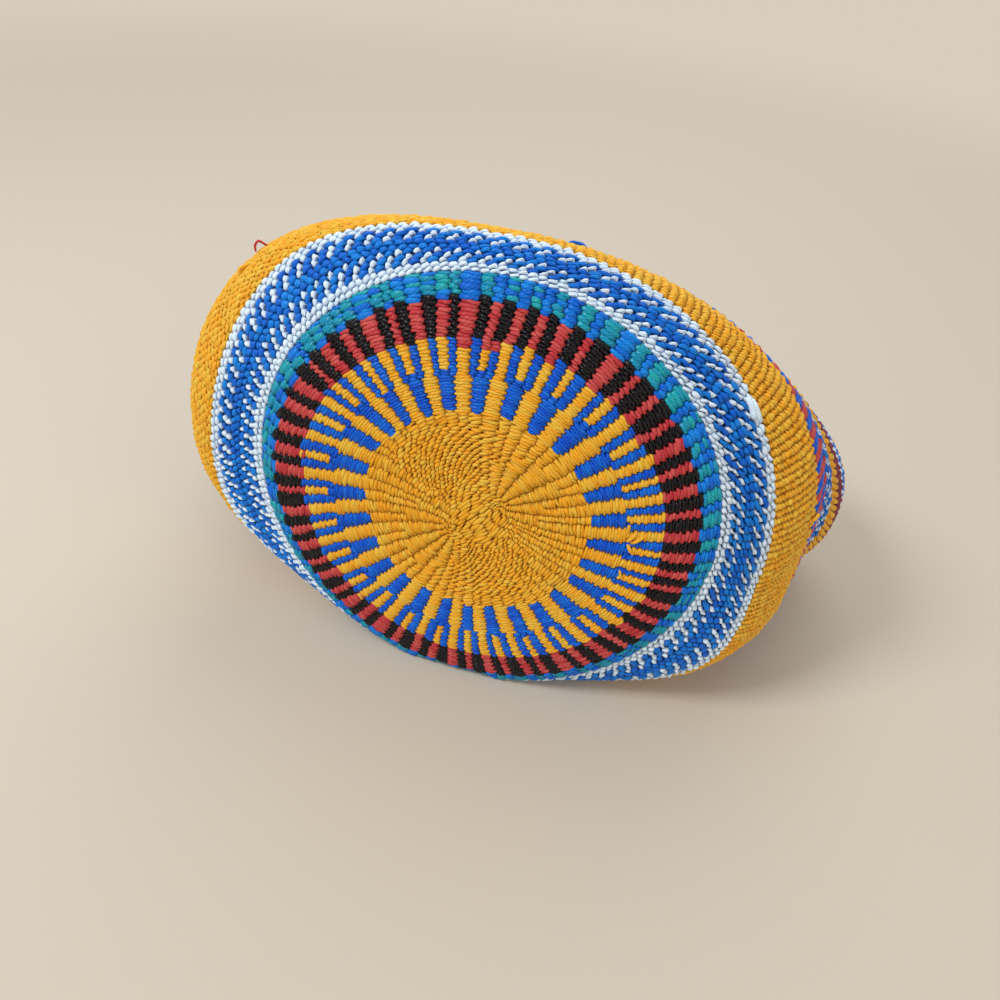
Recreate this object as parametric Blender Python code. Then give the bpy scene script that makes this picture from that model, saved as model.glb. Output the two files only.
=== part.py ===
"""Kiondo basket lying on its side, base facing -Y and mouth facing +Y, floor at Z = 0.

The wall is twined from coloured string over warps that run from the start knot, across the
round base, round the shoulder and up to the rim. Each weft colour band is a piece of its own:
a closed ring with the full thickness of the weave. The rings lie edge to edge along the warps.
"""
import math

import bpy
import numpy as np

# Base, measured in the plane of the woven disc
BASE_RADIUS = 0.1080
BASE_CENTRE_HEIGHT = 0.1021
BASE_CROWN = 0.0035
BASE_EDGE_DROP = 0.0021
BASE_EDGE_LIFT = 0.0022
BASE_LEAN = math.radians(8.9)

# Body, as it lies
GIRTH_HALF_WIDTH = 0.1610
GIRTH_HEIGHT = 0.2210
DEPTH = 0.1450
FLOOR_PRESS = 0.0040
WALL_THICKNESS = 0.0040
BEND_REACH = 0.0080
WEAVE_GAP = 0.0003

# Weave: row heights of the fine and the coarse twining, and the plaited rim
FINE_ROW = 0.00235
COARSE_ROW = 0.0028
RIM_RADIUS = 0.0045
SEGMENTS = 60
BASE_STEPS = 2
ROWS_PER_STEP = 4

# Outer radius of each ring of the base, of BASE_RADIUS
KNOT_SHARE = 0.0833
CENTRE_SHARE = 0.4843
SPOKE_SPLIT_SHARE = 0.6389
SPOKE_SHARE = 0.7889
RED_SHARE = 0.9241
EDGE_SHARE = 1.0

# How far the crown has fallen at the spoke edge and at the red edge, of the crown and the drop
CROWN_FALL_SHARES = (0.07, 0.54)

# One row for each ring of the wall after the base edge:
# arc length of the wall; sideways shift and half width of GIRTH_HALF_WIDTH;
# place at the side, the top and the bottom of DEPTH;
# height of the widest line and of the top of GIRTH_HEIGHT; how much of the sag and set-back it has
WALL_SHARES = (
    (0.154, 0.008, 0.867, 0.071, 0.268, 0.065, 0.414, 1.010, 1.00),
    (0.304, 0.009, 0.991, 0.216, 0.400, 0.270, 0.442, 0.979, 1.05),
    (0.430, 0.023, 0.969, 0.372, 0.549, 0.423, 0.466, 0.902, 0.20),
    (0.504, 0.052, 0.974, 0.420, 0.631, 0.525, 0.424, 0.869, 0.10),
    (0.584, 0.075, 0.995, 0.500, 0.708, 0.630, 0.380, 0.830, 0.05),
    (0.885, 0.080, 1.083, 0.849, 0.997, 1.017, 0.300, 0.661, 0.00),
    (1.000, 0.081, 1.098, 0.972, 1.105, 1.170, 0.262, 0.585, 0.00),
)

# The soft wall's sag, of its size, and its set-back, of DEPTH, at eight places round a ring from
# the right side up and over
SAG_SHARES = (0.944, 0.972, 0.972, 1.056, 0.997, 1.027, 0.992, 1.069)
SET_BACK_SHARES = (0.012, 0.025, -0.020, 0.024, -0.035, -0.010, -0.018, -0.042)

# Weft bands of the base: name, outer radius, string
BASE_BANDS = (
    ("start_knot", KNOT_SHARE, "yellow"),
    ("yellow_base_centre", CENTRE_SHARE, "yellow"),
    ("inner_spoke_ring", SPOKE_SPLIT_SHARE, "blue"),
    ("outer_spoke_ring", SPOKE_SHARE, "yellow"),
    ("red_black_ring", RED_SHARE, "red"),
    ("teal_blue_ring", EDGE_SHARE, "teal"),
)

# Weft bands of the wall, from the base edge to the rim: name, rows, row height, string
WALL_BANDS = (
    ("base_white_ring", 2, FINE_ROW, "white"),
    ("lower_diagonal_ring", 3, FINE_ROW, "blue"),
    ("blue_ring", 2, FINE_ROW, "blue"),
    ("upper_diagonal_ring", 3, FINE_ROW, "blue"),
    ("shoulder_white_ring", 2, FINE_ROW, "white"),
    ("yellow_girth_band", 10, COARSE_ROW, "yellow"),
    ("red_blue_band", 8, COARSE_ROW, "red"),
    ("blue_white_band", 5, COARSE_ROW, "blue"),
    ("yellow_flank_band", 5, COARSE_ROW, "yellow"),
    ("dark_red_band", 8, COARSE_ROW, "dark_red"),
    ("white_flank_ring", 2, COARSE_ROW, "white"),
    ("blue_flank_band", 5, COARSE_ROW, "blue"),
    ("white_mouth_ring", 2, COARSE_ROW, "white"),
    ("yellow_mouth_band", 8, COARSE_ROW, "yellow"),
    ("red_mouth_band", 3, COARSE_ROW, "dark_red"),
)

STRING_COLOURS = {
    "yellow": "E3A31F",
    "blue": "1556C4",
    "white": "D9E2EA",
    "red": "CC3B3F",
    "dark_red": "7E2530",
    "black": "15161A",
    "teal": "0E7F8E",
}
STRING_ROUGHNESS = 0.55


def clear_scene():
    """Remove every object that the scene starts with."""
    for obj in list(bpy.data.objects):
        bpy.data.objects.remove(obj, do_unlink=True)


def linear_colour(code):
    """Turn an sRGB hex code into linear red, green, blue and alpha."""
    values = [int(code[i : i + 2], 16) / 255 for i in (0, 2, 4)]
    linear = [v / 12.92 if v <= 0.04045 else ((v + 0.055) / 1.055) ** 2.4 for v in values]
    return (*linear, 1.0)


def string_material(colour):
    """Twined plastic string: dyed through, with a soft gloss."""
    name = colour + "_string"
    if name in bpy.data.materials:
        return bpy.data.materials[name]
    material = bpy.data.materials.new(name)
    material.use_nodes = True
    shader = material.node_tree.nodes["Principled BSDF"]
    shader.inputs["Base Color"].default_value = linear_colour(STRING_COLOURS[colour])
    shader.inputs["Roughness"].default_value = STRING_ROUGHNESS
    shader.inputs["Metallic"].default_value = 0.0
    return material


def smooth_through(places, values, at):
    """Cubic through the values, with no overshoot: the slope at a place is the harmonic mean
    of the slopes on both sides, or zero where they disagree in sign."""
    places = np.asarray(places)
    steps = np.diff(places).reshape(-1, *[1] * (values.ndim - 1))
    slopes = np.diff(values, axis=0) / steps
    product = slopes[1:] * slopes[:-1]
    total = slopes[1:] + slopes[:-1]
    inner = np.where(product > 0, 2 * product / np.where(product > 0, total, 1), 0)
    slope = np.concatenate([slopes[:1], inner, slopes[-1:]])
    index = np.clip(np.searchsorted(places, at, side="right") - 1, 0, len(places) - 2)
    width = steps[index]
    t = (np.asarray(at) - places[index]).reshape(width.shape) / width
    return (
        (1 + 2 * t) * (1 - t) ** 2 * values[index]
        + t * (1 - t) ** 2 * width * slope[index]
        + t**2 * (3 - 2 * t) * values[index + 1]
        + t**2 * (t - 1) * width * slope[index + 1]
    )


def closed_curve(shares, angles):
    """Smooth closed curve through shares at equal steps round the basket."""
    count = len(shares)
    places = np.arange(-2, count + 3) * math.tau / count
    values = np.array([shares[k % count] for k in range(-2, count + 3)])
    return smooth_through(places, values, angles)


def base_ring(share, angles):
    """Circle of the leaning base disc, which is flat to CENTRE_SHARE and then falls back.
    What would reach below the floor is bent back along it."""
    falls = (0.0, 0.0, *CROWN_FALL_SHARES, 1.0)
    places = (0.0, CENTRE_SHARE, SPOKE_SHARE, RED_SHARE, EDGE_SHARE)
    fall = np.interp(share, places, falls)
    proud = BASE_CROWN - fall * (BASE_CROWN + BASE_EDGE_DROP)
    lift = BASE_EDGE_LIFT * max(0.0, (share - RED_SHARE) / (EDGE_SHARE - RED_SHARE))
    radius = share * BASE_RADIUS
    across = radius * np.cos(angles)
    up = radius * np.sin(angles) + lift
    y = up * math.sin(BASE_LEAN) - proud * math.cos(BASE_LEAN)
    z = BASE_CENTRE_HEIGHT + up * math.cos(BASE_LEAN) + proud * math.sin(BASE_LEAN)
    pressed = np.maximum(-z, 0.0)
    return np.stack([across, y + pressed, z + pressed], axis=-1)


def wall_ring(shares, angles):
    """Closed oval of the wall: an ellipse with other heights above and below its widest line,
    swollen by the sag, set back by another depth at the top and the bottom, flat on the floor."""
    _, shift, half, side, top, bottom, widest, height, strength = shares
    swell = 1 + strength * (closed_curve(SAG_SHARES, angles) - 1)
    back = side + strength * closed_curve(SET_BACK_SHARES, angles)
    cosine = np.cos(angles)
    sine = np.sin(angles)
    middle = widest * GIRTH_HEIGHT
    rise = height * GIRTH_HEIGHT - middle
    below = middle + FLOOR_PRESS
    x = GIRTH_HALF_WIDTH * (shift + half * swell * cosine)
    y = DEPTH * (back + (top - bottom) / 2 * sine + ((top + bottom) / 2 - side) * sine**2)
    z = middle + np.where(sine > 0, rise, below) * swell * sine
    return np.stack([x, y, np.maximum(z, 0.0)], axis=-1)


def wall_length():
    """Arc length of the wall from the base edge to the rim: all its rows."""
    return sum(rows * height for _, rows, height, _ in WALL_BANDS)


def surface(arcs, angles):
    """Points of the basket's outer surface on a grid: arc length from the start knot along the
    warps, by angle round the basket from its right side over the top."""
    base_shares = (0.0, KNOT_SHARE, CENTRE_SHARE, SPOKE_SHARE, RED_SHARE, EDGE_SHARE)
    rings = [base_ring(share, angles) for share in base_shares]
    rings += [wall_ring(shares, angles) for shares in WALL_SHARES]
    places = [share * BASE_RADIUS for share in base_shares]
    places += [BASE_RADIUS + shares[0] * wall_length() for shares in WALL_SHARES]
    return smooth_through(places, np.array(rings), np.asarray(arcs))


def inward(arcs, angles):
    """Unit vectors from the outer surface to the inside, square to both grid directions. They
    are measured over a few rows on each side, so the inner face runs smoothly round a bend."""
    before = np.maximum(arcs - BEND_REACH, 0.0)
    after = np.minimum(arcs + BEND_REACH, BASE_RADIUS + wall_length())
    turn = math.tau / SEGMENTS
    along = surface(after, angles) - surface(before, angles)
    around = surface(arcs, angles + turn) - surface(arcs, angles - turn)
    normal = np.cross(around, along)
    return normal / np.linalg.norm(normal, axis=-1, keepdims=True)


def ring_mesh(name, outer, inner):
    """Closed ring from its outer and inner grids: rows along the warps by points round it."""
    rows, count = outer.shape[:2]
    section = np.concatenate([outer, inner[::-1]])
    points = section.reshape(-1, 3)
    index = np.arange(len(points)).reshape(2 * rows, count)
    after = np.roll(index, -1, axis=0)
    beside = np.roll(index, -1, axis=1)
    corner = np.roll(after, -1, axis=1)
    quads = np.stack([index, after, corner, beside], axis=-1)
    # Both ends of a band split their faces along the same diagonal, as the next band does.
    quads[-1] = np.roll(quads[-1], 1, axis=-1)
    mesh = bpy.data.meshes.new(name)
    mesh.from_pydata(points.tolist(), [], quads.reshape(-1, 4).tolist())
    return mesh


def disc_mesh(name, outer, inner):
    """Closed disc: one ring on each face, each with a centre point."""
    count = outer.shape[1]
    points = [*outer[-1], *inner[-1], outer[0].mean(axis=0), inner[0].mean(axis=0)]
    faces = []
    for k in range(count):
        following = (k + 1) % count
        faces.append((2 * count, k, following))
        faces.append((2 * count + 1, count + following, count + k))
        faces.append((k, count + k, count + following, following))
    mesh = bpy.data.meshes.new(name)
    mesh.from_pydata([tuple(point) for point in points], [], faces)
    return mesh


def finish(mesh, colour, collection):
    """Give a piece its object, its smooth shading and its string."""
    mesh.shade_smooth()
    mesh.set_sharp_from_angle(angle=math.radians(40))
    mesh.materials.append(string_material(colour))
    obj = bpy.data.objects.new(mesh.name, mesh)
    collection.objects.link(obj)
    return obj


def weft_band(name, start, end, colour, steps, collection):
    """One weft colour band between two arc lengths, half a gap short at each end. The mesh
    crosses it in this number of steps."""
    arcs = np.linspace(max(start, WEAVE_GAP), end, steps + 1)
    angles = np.arange(SEGMENTS) * math.tau / SEGMENTS
    thickness = inward(arcs, angles) * WALL_THICKNESS
    arcs[0] += WEAVE_GAP / 2
    arcs[-1] -= WEAVE_GAP / 2
    outer = surface(arcs, angles)
    inner = outer + thickness
    make = ring_mesh if start > 0 else disc_mesh
    finish(make(name, outer, inner), colour, collection)


def rim_plait(collection):
    """Plaited rim: the warp ends turned over and braided into a roll along the mouth's edge."""
    angles = np.arange(SEGMENTS) * math.tau / SEGMENTS
    end = np.array([BASE_RADIUS + wall_length()])
    edge = surface(end, angles)[0]
    inside = inward(end, angles)[0]
    around = np.roll(edge, -1, axis=0) - np.roll(edge, 1, axis=0)
    outwards = np.cross(inside, around)
    outwards /= np.linalg.norm(outwards, axis=-1, keepdims=True)
    centre = edge + outwards * (RIM_RADIUS + WEAVE_GAP) + inside * WALL_THICKNESS / 2
    centre[:, 2] = np.maximum(centre[:, 2], RIM_RADIUS)
    curve = bpy.data.curves.new("rim_plait", "CURVE")
    curve.dimensions = "3D"
    curve.bevel_depth = RIM_RADIUS
    curve.bevel_resolution = 2
    curve.materials.append(string_material("yellow"))
    spline = curve.splines.new("POLY")
    spline.points.add(SEGMENTS - 1)
    for point, position in zip(spline.points, centre):
        point.co = (*position, 1.0)
    spline.use_cyclic_u = True
    spline.use_smooth = True
    collection.objects.link(bpy.data.objects.new("rim_plait", curve))


def stand_at_origin(collection):
    """Move all the pieces so that the origin is under the middle of their box, on the floor."""
    bpy.context.view_layer.update()
    corners = np.concatenate([np.array(obj.bound_box) for obj in collection.objects])
    low = corners.min(axis=0)
    middle = (low + corners.max(axis=0)) / 2
    for obj in collection.objects:
        obj.location = (-middle[0], -middle[1], -low[2])


def build():
    """Make every weft band from the start knot outwards, and then the rim."""
    clear_scene()
    collection = bpy.data.collections.new("kiondo_basket")
    bpy.context.scene.collection.children.link(collection)
    start = 0.0
    for name, share, colour in BASE_BANDS:
        end = share * BASE_RADIUS
        weft_band(name, start, end, colour, BASE_STEPS, collection)
        start = end
    for name, rows, height, colour in WALL_BANDS:
        end = start + rows * height
        weft_band(name, start, end, colour, math.ceil(rows / ROWS_PER_STEP), collection)
        start = end
    rim_plait(collection)
    stand_at_origin(collection)


build()
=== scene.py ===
"""The kiondo basket's string: every weft row is one closed rope of stitches, laid over the packed
bands. Lengths are in metres, angles in radians, the basket's own frame is the CAD's.
"""
import math

import bpy
import numpy as np
from mathutils import Matrix


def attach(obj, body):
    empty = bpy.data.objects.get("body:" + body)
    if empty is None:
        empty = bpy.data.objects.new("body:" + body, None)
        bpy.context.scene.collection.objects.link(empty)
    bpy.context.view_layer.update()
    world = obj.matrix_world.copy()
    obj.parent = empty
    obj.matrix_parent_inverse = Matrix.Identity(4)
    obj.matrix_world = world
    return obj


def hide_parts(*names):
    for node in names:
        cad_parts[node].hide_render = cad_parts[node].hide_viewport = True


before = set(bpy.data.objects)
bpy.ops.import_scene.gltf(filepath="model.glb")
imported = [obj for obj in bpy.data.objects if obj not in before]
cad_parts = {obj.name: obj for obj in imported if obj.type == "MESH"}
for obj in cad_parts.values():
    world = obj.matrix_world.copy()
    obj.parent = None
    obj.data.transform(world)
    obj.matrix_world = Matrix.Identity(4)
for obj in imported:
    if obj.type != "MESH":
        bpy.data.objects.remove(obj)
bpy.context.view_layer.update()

MM = 0.001
TAU = math.tau

# -------- the basket's surface, as in CAD

BASE_RADIUS = 0.1080
BASE_SHARES = (0.0, 0.0833, 0.4843, 0.7889, 0.9241, 1.0)
BASE_CENTRE_HEIGHT = 0.1021
BASE_CROWN = 0.0035
BASE_EDGE_DROP = 0.0021
BASE_EDGE_LIFT = 0.0022
BASE_LEAN = math.radians(8.9)
CROWN_FALL_SHARES = (0.07, 0.54)
GIRTH_HALF_WIDTH = 0.1610
GIRTH_HEIGHT = 0.2210
DEPTH = 0.1450
FLOOR_PRESS = 0.0040
WALL_THICKNESS = 0.0040
WALL_LENGTH = 0.1850
# For each oval of the wall, as shares of the sizes above: its place along the wall, shift to the
# right, half width, set-back at the sides, at the top and at the bottom, height of the widest
# place and of the top, and how much of the sag it takes.
WALL_SHARES = (
    (0.154, 0.008, 0.867, 0.071, 0.268, 0.065, 0.414, 1.010, 1.00),
    (0.304, 0.009, 0.991, 0.216, 0.400, 0.270, 0.442, 0.979, 1.05),
    (0.430, 0.023, 0.969, 0.372, 0.549, 0.423, 0.466, 0.902, 0.20),
    (0.504, 0.052, 0.974, 0.420, 0.631, 0.525, 0.424, 0.869, 0.10),
    (0.584, 0.075, 0.995, 0.500, 0.708, 0.630, 0.380, 0.830, 0.05),
    (0.885, 0.080, 1.083, 0.849, 0.997, 1.017, 0.300, 0.661, 0.00),
    (1.000, 0.081, 1.098, 0.972, 1.105, 1.170, 0.262, 0.585, 0.00),
)
SAG_SHARES = (0.944, 0.972, 0.972, 1.056, 0.997, 1.027, 0.992, 1.069)
SET_BACK_SHARES = (0.012, 0.025, -0.020, 0.024, -0.035, -0.010, -0.018, -0.042)
STANDS_AT = np.array([-0.013083, -0.081226, 0.0])
TOTAL = BASE_RADIUS + WALL_LENGTH


def unit(vectors):
    """The vectors divided by their lengths."""
    return vectors / np.linalg.norm(vectors, axis=-1, keepdims=True)


def ramp(past, length):
    """Rises evenly from zero to one over a length past a place, and stays there."""
    return np.clip(past / length, 0, 1)


def smooth_through(places, values, at):
    """Cubic through the values, with no overshoot: the slope at a place is the harmonic mean
    of the slopes on both sides, or zero where they disagree in sign."""
    places = np.asarray(places)
    steps = np.diff(places).reshape(-1, *[1] * (values.ndim - 1))
    slopes = np.diff(values, axis=0) / steps
    product = slopes[1:] * slopes[:-1]
    total = slopes[1:] + slopes[:-1]
    inner = np.where(product > 0, 2 * product / np.where(product > 0, total, 1), 0)
    slope = np.concatenate([slopes[:1], inner, slopes[-1:]])
    index = np.clip(np.searchsorted(places, at, side="right") - 1, 0, len(places) - 2)
    width = steps[index]
    t = (np.asarray(at) - places[index]).reshape(width.shape) / width
    return (
        (1 + 2 * t) * (1 - t) ** 2 * values[index]
        + t * (1 - t) ** 2 * width * slope[index]
        + t**2 * (3 - 2 * t) * values[index + 1]
        + t**2 * (t - 1) * width * slope[index + 1]
    )


def closed_curve(shares, angles):
    """Smooth closed curve through values at equal steps round the basket."""
    turns = range(-2, len(shares) + 3)
    values = np.array([shares[k % len(shares)] for k in turns])
    return smooth_through(np.array(turns) * TAU / len(shares), values, np.mod(angles, TAU))


def base_ring(share, angles):
    """Circle of the leaning base disc, flat to its yellow centre and then falling back."""
    places = (0.0, *BASE_SHARES[2:])
    fall = np.interp(share, places, (0.0, 0.0, *CROWN_FALL_SHARES, 1.0))
    proud = BASE_CROWN - fall * (BASE_CROWN + BASE_EDGE_DROP)
    lift = BASE_EDGE_LIFT * max(0.0, (share - BASE_SHARES[4]) / (1 - BASE_SHARES[4]))
    across = share * BASE_RADIUS * np.cos(angles)
    up = share * BASE_RADIUS * np.sin(angles) + lift
    y = up * math.sin(BASE_LEAN) - proud * math.cos(BASE_LEAN)
    z = BASE_CENTRE_HEIGHT + up * math.cos(BASE_LEAN) + proud * math.sin(BASE_LEAN)
    pressed = np.maximum(-z, 0.0)
    return np.stack([across, y + pressed, z + pressed], axis=-1)


def wall_ring(shares, angles):
    """Closed oval of the wall, swollen by the sag, set back by depth and flat on the floor."""
    _, shift, half, side, top, bottom, widest, height, strength = shares
    swell = 1 + strength * (closed_curve(SAG_SHARES, angles) - 1)
    sine = np.sin(angles)
    middle = widest * GIRTH_HEIGHT
    x = GIRTH_HALF_WIDTH * (shift + half * swell * np.cos(angles))
    back = side + strength * closed_curve(SET_BACK_SHARES, angles)
    y = DEPTH * (back + (top - bottom) / 2 * sine + ((top + bottom) / 2 - side) * sine**2)
    reach = np.where(sine > 0, height * GIRTH_HEIGHT - middle, middle + FLOOR_PRESS)
    z = middle + reach * swell * sine
    return np.stack([x, y, np.maximum(z, 0.0)], axis=-1)


ARC_STEP = 0.25 * MM
ANGLE_COUNT = 720
ARC_REACH = round(8 * MM / ARC_STEP)
ANGLE_REACH = 12


def table_of_surface():
    """Points of the outer surface and unit vectors inwards, on a fine grid of arc by angle. The
    vectors are the cross product of both grid directions, measured over 8 mm and 6 degrees to
    each side. The first four rows are too close to the knot for that, and take the direction
    round of the fifth."""
    arcs = np.arange(0.0, TOTAL + ARC_STEP, ARC_STEP)
    angles = np.arange(ANGLE_COUNT) * TAU / ANGLE_COUNT
    rings = [base_ring(share, angles) for share in BASE_SHARES]
    rings += [wall_ring(shares, angles) for shares in WALL_SHARES]
    places = [share * BASE_RADIUS for share in BASE_SHARES]
    places += [BASE_RADIUS + shares[0] * WALL_LENGTH for shares in WALL_SHARES]
    points = smooth_through(places, np.array(rings), arcs) + STANDS_AT
    index = np.arange(len(arcs))
    ahead = points[np.minimum(index + ARC_REACH, index[-1])]
    along = ahead - points[np.maximum(index - ARC_REACH, 0)]
    around = np.roll(points, -ANGLE_REACH, axis=1) - np.roll(points, ANGLE_REACH, axis=1)
    around[:4] = around[4]
    return points, unit(np.cross(around, along))


POINTS, INWARD = table_of_surface()


def on_wall(arc, angle, depth):
    """Point at an arc length from the start knot, an angle round and a depth into the wall:
    the table's four neighbours mixed by distance, plus the depth along the inward vector."""
    row = np.clip(arc / ARC_STEP, 0, len(POINTS) - 1.001)
    column = np.mod(angle, TAU) / TAU * ANGLE_COUNT
    low = row.astype(int)
    left = column.astype(int) % ANGLE_COUNT
    right = (left + 1) % ANGLE_COUNT
    up = (row - low)[..., None]
    side = (column - np.floor(column))[..., None]
    found = []
    for table in (POINTS, INWARD):
        first = table[low, left] * (1 - side) + table[low, right] * side
        second = table[low + 1, left] * (1 - side) + table[low + 1, right] * side
        found.append(first * (1 - up) + second * up)
    return found[0] + depth[..., None] * found[1]


# -------- string and its colours


def linear(code):
    """sRGB hex code to linear red, green and blue, and full alpha."""
    values = [int(code[i : i + 2], 16) / 255 for i in (0, 2, 4)]
    return (*[v / 12.92 if v <= 0.04045 else ((v + 0.055) / 1.055) ** 2.4 for v in values], 1.0)


def node(tree, kind, inputs=(), **settings):
    """Add a shader node, with its settings, and its inputs as values or as sockets to link."""
    made = tree.nodes.new("ShaderNode" + kind)
    for name, value in settings.items():
        setattr(made, name, value)
    for key, value in dict(inputs).items():
        if isinstance(value, bpy.types.NodeSocket):
            tree.links.new(value, made.inputs[key])
        else:
            made.inputs[key].default_value = value
    return made


def new_material(name, sockets):
    """A material, its node tree and its shader, with values for the shader's own sockets."""
    material = bpy.data.materials.new(name)
    material.use_nodes = True
    shader = material.node_tree.nodes["Principled BSDF"]
    for socket, value in sockets.items():
        shader.inputs[socket].default_value = value
    return material, material.node_tree, shader


def stand(name, data):
    """Add an object to the scene."""
    piece = bpy.data.objects.new(name, data)
    bpy.context.scene.collection.objects.link(piece)
    return piece


# Colour of each string: in the light, in the thin shade between two stitches, and as it fades;
# then roughness and specular level.
STRINGS = {
    "yellow": ("F8AC18", "B0700E", "F2C23C", 0.48, 0.35),
    "blue": ("0052D0", "041E5A", "0E72E0", 0.34, 0.24),
    "sky_blue": ("0064D2", "02285E", "0C88E4", 0.32, 0.24),
    "white": ("E4F4FF", "7894BC", "EEF8FF", 0.42, 0.45),
    "red": ("C6333A", "5A0E14", "D85852", 0.42, 0.30),
    "dark_red": ("7E2034", "380A18", "943444", 0.46, 0.30),
    "black": ("09070D", "030304", "121118", 0.15, 0.26),
    "teal": ("0090B8", "02404E", "10A8B0", 0.28, 0.35),
}
STRING_NAMES = list(STRINGS)
YELLOW, BLUE, SKY, WHITE, RED, DARK_RED, BLACK, TEAL = range(8)


def twisted_string(name):
    """Synthetic twisted string, dyed through: fine fibres run at a slant along each stitch and
    catch a soft gloss, and painted shade deepens the colour between fibres and in grooves."""
    *codes, roughness, specular = STRINGS[name]
    bright, deep, faded = map(linear, codes)
    finish = {"Roughness": roughness, "IOR": 1.49, "Specular IOR Level": specular}
    material, tree, shader = new_material(name + "_twisted_string", finish)
    # The string map holds millimetres along a stitch and round it.
    strand = node(tree, "UVMap", uv_map="strand")
    tone = node(tree, "Attribute", attribute_name="tone").outputs["Fac"]
    groove = node(tree, "Attribute", attribute_name="groove").outputs["Fac"]
    place = node(tree, "TexCoord").outputs["Object"]
    # Dye unevenness, in patches of about 8 mm, on top of each stitch's own tone.
    patches = node(tree, "TexNoise", {"Vector": place, "Scale": 120.0, "Detail": 3.0})
    mixed = node(tree, "Math", {0: patches.outputs["Fac"], 1: tone}, operation="MULTIPLY")
    shade = node(tree, "MapRange", {"Value": mixed.outputs[0], "From Min": 0.15, "From Max": 0.50})
    # Plies of the string, twisted at about 25 degrees to the strand and about 1 mm apart: a wave
    # repeats every TAU / 20 of its scaled place.
    turn = (0.0, 0.0, math.radians(65))
    turned = node(tree, "Mapping", {"Vector": strand.outputs["UV"], "Rotation": turn})
    waves = {"Scale": 0.32, "Distortion": 1.8, "Detail": 2.0, "Detail Scale": 1.5}
    fibres = node(
        tree, "TexWave", {"Vector": turned.outputs[0], **waves},
        wave_type="BANDS", bands_direction="X",
    ).outputs["Fac"]
    # Lint of about 0.5 mm.
    lint = node(tree, "TexNoise", {"Vector": place, "Scale": 2200.0, "Detail": 2.0})
    height = node(tree, "Math", {0: fibres, 1: lint.outputs["Fac"]}, operation="ADD")
    relief = {"Height": height.outputs[0], "Strength": 0.8, "Distance": 0.16 * MM}
    bump = node(tree, "Bump", relief)
    # The string's bright colour fades by its tone, and painted shade deepens it between fibres and
    # in grooves.
    between = {"From Min": 0.0, "From Max": 0.55, "To Min": 0.22, "To Max": 0.0}
    ply_shade = node(tree, "MapRange", {"Value": fibres, **between})
    # Painted shade in the grooves between stitches, growing from 0.38 of the groove depth to the
    # full depth.
    groove_shading = {"From Min": 0.38, "From Max": 1.0, "To Min": 0.0, "To Max": 0.70}
    dip = node(tree, "MapRange", {"Value": groove, **groove_shading}, interpolation_type="SMOOTHSTEP")
    colour = bright
    for share, other in ((shade, faded), (ply_shade, deep), (dip, deep)):
        mix = {"Factor": share.outputs[0], "A": colour, "B": other}
        colour = node(tree, "Mix", mix, data_type="RGBA").outputs["Result"]
    tree.links.new(colour, shader.inputs["Base Color"])
    tree.links.new(bump.outputs["Normal"], shader.inputs["Normal"])
    return material


MATERIALS = [twisted_string(name) for name in STRING_NAMES]

# -------- a weft row

CHANCE = np.random.default_rng(28)
WAVE_COUNT = 7
WAVES = CHANCE.normal(0, 1, (WAVE_COUNT, 3))
WAVES *= (TAU / CHANCE.uniform(2.2 * MM, 6.5 * MM, WAVE_COUNT)
          / np.linalg.norm(WAVES, axis=-1))[:, None]
SWAYS = CHANCE.normal(0, 1, (WAVE_COUNT, 3))
UNEVENNESS = 0.085 * MM


def roughened(points):
    """The points moved a little by a sum of seven sine waves through space, 2.2 to 6.5 mm long,
    so that no two stitches are alike."""
    return points + UNEVENNESS * np.sin(points @ WAVES.T) @ SWAYS


# The warps first cross along a short line at this angle, so the rounds near it are drawn out by
# this length, which fades away at this distance.
CROSSING = math.radians(45.0)
DRAWN = 13 * MM
DRAWN_WITHIN = 46 * MM


def drawn_out(arc, angle):
    """Arc length and angle on the base after drawing out: the part of the way that runs along
    the crossing grows by the drawn length times the square of the share of the distance left."""
    longer = arc + DRAWN * np.clip(1 - arc / DRAWN_WITHIN, 0, 1) ** 2
    along = longer * np.cos(angle - CROSSING)
    across = arc * np.sin(angle - CROSSING)
    return np.hypot(along, across), CROSSING + np.arctan2(across, along)


# Places round a strand's section: most on the outer half, and fewer where rows are many.
SECTION = np.radians([0, 36, 72, 108, 144, 180, 225, 270, 315])
PLAIN_SECTION = np.radians([0, 45, 90, 135, 180, 240, 300])

# At the five stations of a stitch: the share of its length, the side to which the turn at its
# end moves the station, and how full, how far up a tilted stitch and how rounded it is there.
STATIONS = 5
ALONG = np.array([0, 0, 0.38, 0.62, 1])
TURNED = np.array([0, 1, 0, 0, -1])
FULLNESS = np.array([0, 0.78, 1, 1, 0.78])[:, None]
SLOPE = np.array([0, -0.5, -0.16, 0.16, 0.5])[:, None]
ROUNDING = np.array([1, 0.6, 0, 0, 0.6])[:, None]

# How far strands stand out of the CAD's surface, the inner face that they reach, a strand's largest
# radius, how deep a groove is when fully shaded, and the usual width of a stitch's ends.
PROUD = 0.3 * MM
INNER_FACE = WALL_THICKNESS + 0.1 * MM
MOST_RADIUS = 0.45 * WALL_THICKNESS
GROOVE_DEPTH = 1.1 * MM
PLAIN_TIPS = 1.08


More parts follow.
